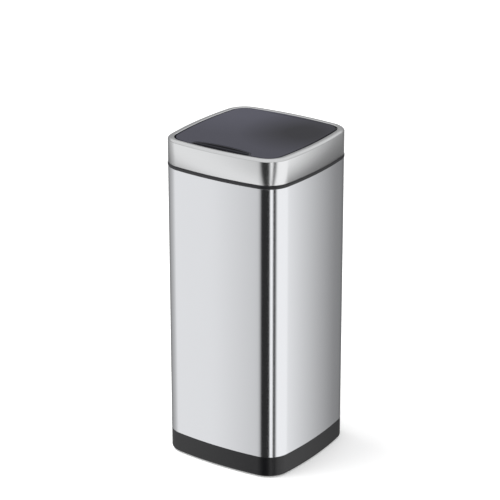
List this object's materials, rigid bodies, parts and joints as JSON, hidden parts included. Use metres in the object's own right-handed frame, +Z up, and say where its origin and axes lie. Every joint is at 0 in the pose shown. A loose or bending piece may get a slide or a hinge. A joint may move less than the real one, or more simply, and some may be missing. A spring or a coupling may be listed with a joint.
{
  "type": "sensor trash can",
  "caption": "Tall bowed-square steel kitchen bin whose head has a motor-driven flap opened by a sensor pod at its front edge, over a lift-out bucket.",
  "frame": {"origin": "on the floor under the middle of the bin", "axes": "+Z up, the front with the sensor faces -Y, +X to the right seen from the front"},
  "size_m": [0.2818, 0.2819, 0.65],
  "materials": {
    "base_plastic": "fine moulded grain",
    "foot_rubber": "matt",
    "body_steel": "satin hairline",
    "head_steel": "satin hairline",
    "collar_plastic": "satin",
    "bucket_plastic": "moulded",
    "handle_wire": "plated wire",
    "frame_plastic": "moulded",
    "flap_plastic": "satin",
    "liner_plastic": "moulded",
    "screw_steel": "zinc plated",
    "gear_plastic": "acetal",
    "pinion_brass": "turned",
    "motor_steel": "plated can",
    "board_green": "solder mask",
    "cell_jacket": "plain wrapped jacket",
    "switch_plastic": "gloss",
    "pod_plastic": "gloss",
    "window_gloss": "polished"
  },
  "bodies": {
    "bin_body": {"base_tray": "base_plastic", "rubber_feet": "foot_rubber", "steel_sleeve": "body_steel", "trim_collar": "collar_plastic"},
    "bucket": {"inner_bucket": "bucket_plastic"},
    "bucket_handle": {"bucket_handle": "handle_wire"},
    "head": {"head_shell": "head_steel", "head_frame": "frame_plastic", "rear_strip": "flap_plastic", "bay_cover": "frame_plastic", "cover_screws": "screw_steel", "gear_bracket": "frame_plastic", "gear_side_plate": "frame_plastic", "drive_motor": "motor_steel", "circuit_board": "board_green", "battery_box": "frame_plastic", "battery_cells": "cell_jacket", "battery_contacts": "screw_steel", "switch_body": "switch_plastic", "sensor_housing": "pod_plastic", "sensor_window": "window_gloss", "sensor_board": "board_green"},
    "battery_door": {"battery_door": "frame_plastic"},
    "switch_rocker": {"switch_rocker": "switch_plastic"},
    "flap": {"flap_skin": "flap_plastic", "flap_liner": "liner_plastic", "hinge_pins": "screw_steel", "sector_gear": "gear_plastic"},
    "second_gear": {"second_gear": "gear_plastic"},
    "first_gear": {"first_gear": "gear_plastic"},
    "motor_pinion": {"motor_pinion": "pinion_brass"}
  },
  "joints": [
    {"name": "head_lift", "type": "slide", "parent": "bin_body", "child": "head", "axis": [0, 0, 1], "range_m": [0, 0.3]},
    {"name": "bucket_lift", "type": "slide", "parent": "bin_body", "child": "bucket", "axis": [0, 0, 1], "range_m": [0, 0.15]},
    {"name": "bucket_handle_swing", "type": "hinge", "parent": "bucket", "child": "bucket_handle", "pos_m": [0, 0, 0.5725], "axis": [-1, 0, 0], "range_deg": [0, 90]},
    {"name": "battery_door_off", "type": "slide", "parent": "head", "child": "battery_door", "axis": [0, 0, -1], "range_m": [0, 0.008]},
    {"name": "power_rocker", "type": "hinge", "parent": "head", "child": "switch_rocker", "pos_m": [0.0331, 0.13433, 0.625], "axis": [-1, 0, 0], "range_deg": [0, 12]},
    {"name": "flap_open", "type": "hinge", "parent": "head", "child": "flap", "pos_m": [0, 0.107, 0.6462], "axis": [-1, 0, 0], "range_deg": [0, 75]},
    {"name": "second_gear_spin", "type": "hinge", "parent": "head", "child": "second_gear", "pos_m": [0.0389, 0.09948, 0.62553], "axis": [-1, 0, 0], "range_deg": [-202, 2]},
    {"name": "first_gear_spin", "type": "hinge", "parent": "head", "child": "first_gear", "pos_m": [0.0439, 0.0882, 0.62142], "axis": [-1, 0, 0], "range_deg": [-2, 602]},
    {"name": "motor_spin", "type": "hinge", "parent": "head", "child": "motor_pinion", "pos_m": [0.0469, 0.09901, 0.61749], "axis": [-1, 0, 0], "range_deg": [-2162, 2]}
  ],
  "couplings": [
    {"joint": "bucket_lift", "follows": "head_lift", "ratio": 0.5},
    {"joint": "bucket_handle_swing", "follows": "head_lift", "rad_per_m": 5},
    {"joint": "battery_door_off", "follows": "head_lift", "ratio": 0.026666},
    {"joint": "second_gear_spin", "follows": "flap_open", "ratio": -2.6667},
    {"joint": "first_gear_spin", "follows": "flap_open", "ratio": 8},
    {"joint": "motor_spin", "follows": "flap_open", "ratio": -28.8}
  ]
}
